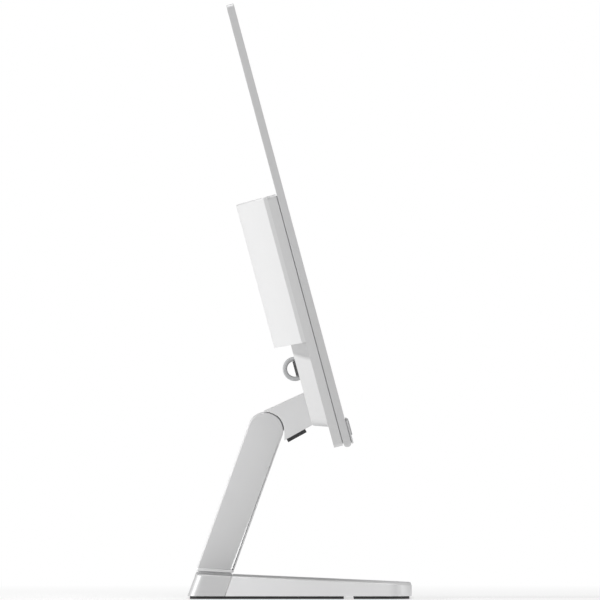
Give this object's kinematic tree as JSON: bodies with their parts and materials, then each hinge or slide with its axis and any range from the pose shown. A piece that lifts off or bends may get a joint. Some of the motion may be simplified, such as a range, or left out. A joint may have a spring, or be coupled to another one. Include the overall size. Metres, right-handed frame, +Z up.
{
  "type": "all-in-one computer",
  "caption": "Desktop computer built into a thin display, with a compute box behind it, on a tilting arm, a leaning leg and a wedge-shaped base.",
  "frame": {"origin": "on the floor, under the middle of the whole object (the base sets its depth, the display its width)", "axes": "+Z up, the screen faces -Y, +X to the viewer's right"},
  "size_m": [0.612, 0.1878, 0.4964],
  "materials": {
    "display_metal": "fine blasted silver",
    "cover_metal": "satin silver",
    "box_metal": "satin silver",
    "arm_metal": "fine blasted silver",
    "leg_metal": "fine blasted silver",
    "collar_metal": "bright turned edge",
    "foot_metal": "fine blasted silver",
    "base_metal": "fine blasted silver",
    "chin_metal": "fine blasted silver",
    "front_glass": "black glass, screen off",
    "panel_film": "dark",
    "inner_steel": "plated",
    "seam_trim": "matt mid grey",
    "dark_trim": "matt black",
    "release_plastic": "matt black",
    "button_plastic": "satin grey",
    "grille_mesh": "dark mesh",
    "loop_plastic": "mid grey",
    "sole_rubber": "matt black",
    "circuit_board": "green lacquer",
    "port_steel": "plated",
    "port_plastic": "black",
    "cooling_metal": "bare",
    "pipe_copper": "bare copper"
  },
  "bodies": {
    "stand": {"base_shell": "base_metal", "base_weight": "inner_steel", "base_underplate": "inner_steel", "base_pad_front": "sole_rubber", "base_pad_rear": "sole_rubber", "foot_block": "foot_metal", "foot_screw_left": "inner_steel", "foot_screw_right": "inner_steel", "leg_neck": "seam_trim", "leg_collar": "collar_metal", "leg_shell": "leg_metal", "leg_cover_tape": "seam_trim", "leg_front_cover": "leg_metal", "leg_spine": "inner_steel", "hinge_shaft": "inner_steel"},
    "head": {"front_frame": "display_metal", "rear_cover": "cover_metal", "box_cover": "box_metal", "arm_shell": "arm_metal", "arm_casting": "arm_metal", "chin_plate": "chin_metal", "front_glass": "front_glass", "lcd_cell": "panel_film", "backlight": "panel_film", "panel_chassis": "inner_steel", "mount_plate": "inner_steel", "mount_screw_left": "inner_steel", "mount_screw_right": "inner_steel", "board_tray": "inner_steel", "seam_gasket": "seam_trim", "chin_tape": "seam_trim", "loop_base": "dark_trim", "port_plate": "dark_trim", "camera_board": "dark_trim", "speaker_grille": "grille_mesh", "cable_loop": "loop_plastic", "mainboard": "circuit_board", "driver_board": "circuit_board", "memory_module_1": "circuit_board", "memory_module_2": "circuit_board", "storage_drive": "circuit_board", "radio_card": "circuit_board", "usb_c_port": "port_steel", "usb_port_1": "port_steel", "usb_port_2": "port_steel", "video_port": "port_steel", "network_port": "port_steel", "audio_port": "port_plastic", "power_inlet": "port_plastic", "blower_housing": "port_plastic", "speaker_left": "port_plastic", "speaker_right": "port_plastic", "fin_stack": "cooling_metal", "processor_plate": "cooling_metal", "heat_pipe": "pipe_copper"},
    "release": {"release_bar": "release_plastic"},
    "button": {"power_button": "button_plastic"},
    "shutter": {"camera_shutter": "dark_trim"},
    "impeller": {"blower_impeller": "port_plastic"}
  },
  "joints": [
    {"name": "tilt_hinge", "type": "hinge", "parent": "stand", "child": "head", "pos_m": [0, 0.0288, 0.1408], "axis": [1, 0, 0], "range_deg": [-10, 20]},
    {"name": "release_press", "type": "slide", "parent": "head", "child": "release", "axis": [0, 0.4818, 0.8763], "range_m": [0, 0.0015], "stiffness_N_per_m": 900, "springref_m": -0.002},
    {"name": "power_press", "type": "slide", "parent": "head", "child": "button", "axis": [0, 0.2588, 0.9659], "range_m": [0, 0.0008], "stiffness_N_per_m": 800, "springref_m": -0.001},
    {"name": "shutter_slide", "type": "slide", "parent": "head", "child": "shutter", "axis": [1, 0, 0], "range_m": [0, 0.008]},
    {"name": "impeller_spin", "type": "hinge", "parent": "head", "child": "impeller", "pos_m": [-0.135, 0.01574, 0.27288], "axis": [0, 0.9659, -0.2588], "continuous": true}
  ]
}
